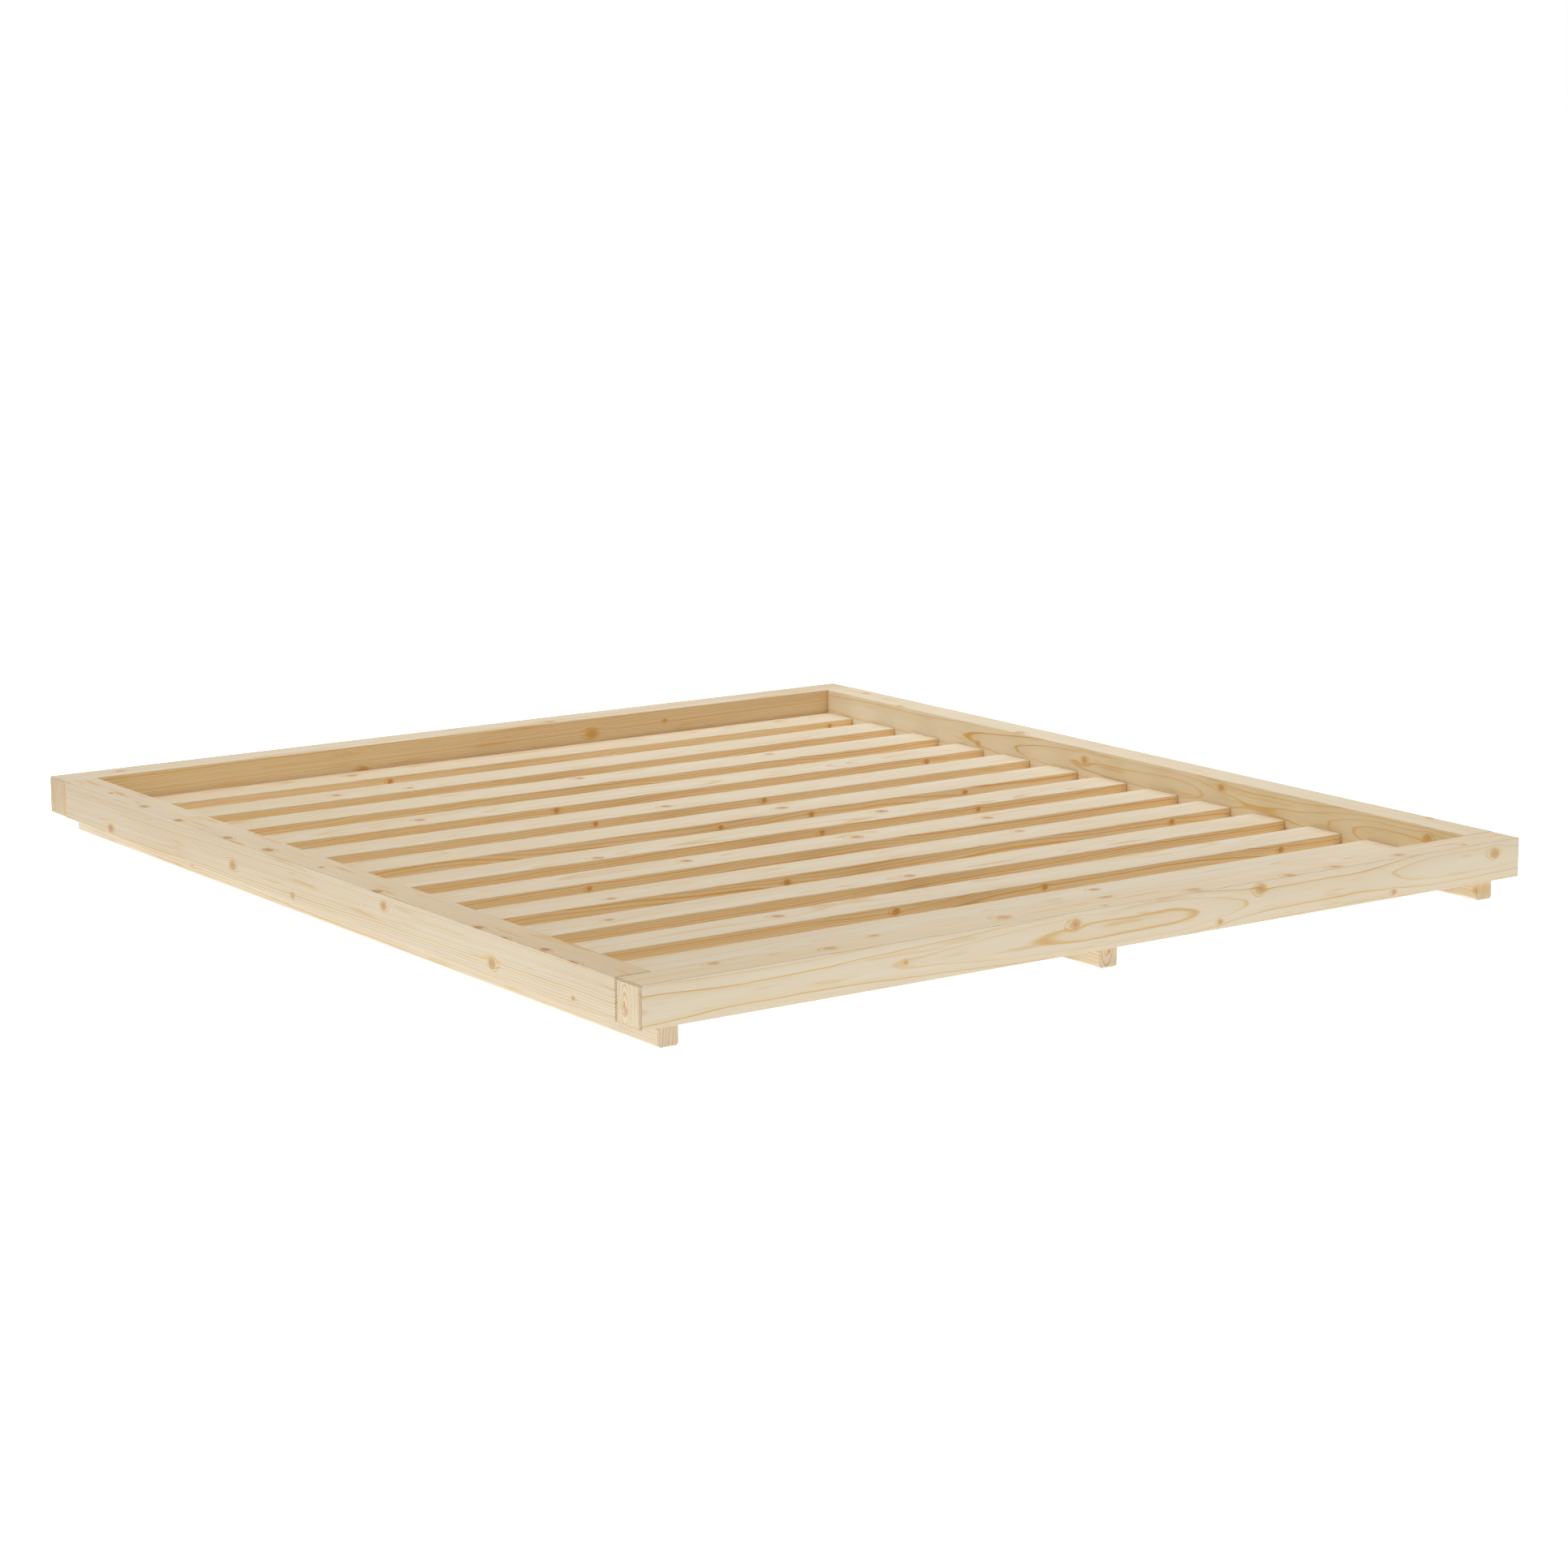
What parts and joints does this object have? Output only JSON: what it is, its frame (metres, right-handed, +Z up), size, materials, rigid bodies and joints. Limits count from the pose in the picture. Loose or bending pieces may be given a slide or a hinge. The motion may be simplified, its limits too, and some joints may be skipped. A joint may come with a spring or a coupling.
{
  "type": "bed frame",
  "caption": "Low double bed frame of solid softwood: square-section rails on long floor runners, with flat cross slats set down inside to carry a mattress.",
  "frame": {"origin": "centre of the footprint, on the floor that the runners stand on", "axes": "+X to the right along the slats, +Y from the front rail to the back rail along the runners, +Z up"},
  "size_m": [1.96, 2.15, 0.114],
  "materials": {
    "pine_rails": "planed softwood, matt clear finish",
    "pine_runners": "planed softwood, matt clear finish",
    "pine_slats": "planed softwood, bare",
    "beech_dowels": "turned hardwood, bare",
    "zinc_steel": "bright zinc plate"
  },
  "bodies": {
    "root": {"front_rail": "pine_rails", "back_rail": "pine_rails", "left_rail": "pine_rails", "right_rail": "pine_rails", "left_runner": "pine_runners", "middle_runner": "pine_runners", "right_runner": "pine_runners", "slat_01": "pine_slats", "slat_02": "pine_slats", "slat_03": "pine_slats", "slat_04": "pine_slats", "slat_05": "pine_slats", "slat_06": "pine_slats", "slat_07": "pine_slats", "slat_08": "pine_slats", "slat_09": "pine_slats", "slat_10": "pine_slats", "slat_11": "pine_slats", "slat_12": "pine_slats", "slat_13": "pine_slats", "corner_dowels": "beech_dowels", "hanger_bolts": "zinc_steel", "half_moon_washers": "zinc_steel", "hanger_nuts": "zinc_steel", "runner_end_screws": "zinc_steel", "side_rail_screws": "zinc_steel", "slat_screws_left": "zinc_steel", "slat_screws_middle": "zinc_steel", "slat_screws_right": "zinc_steel"}
  },
  "joints": []
}
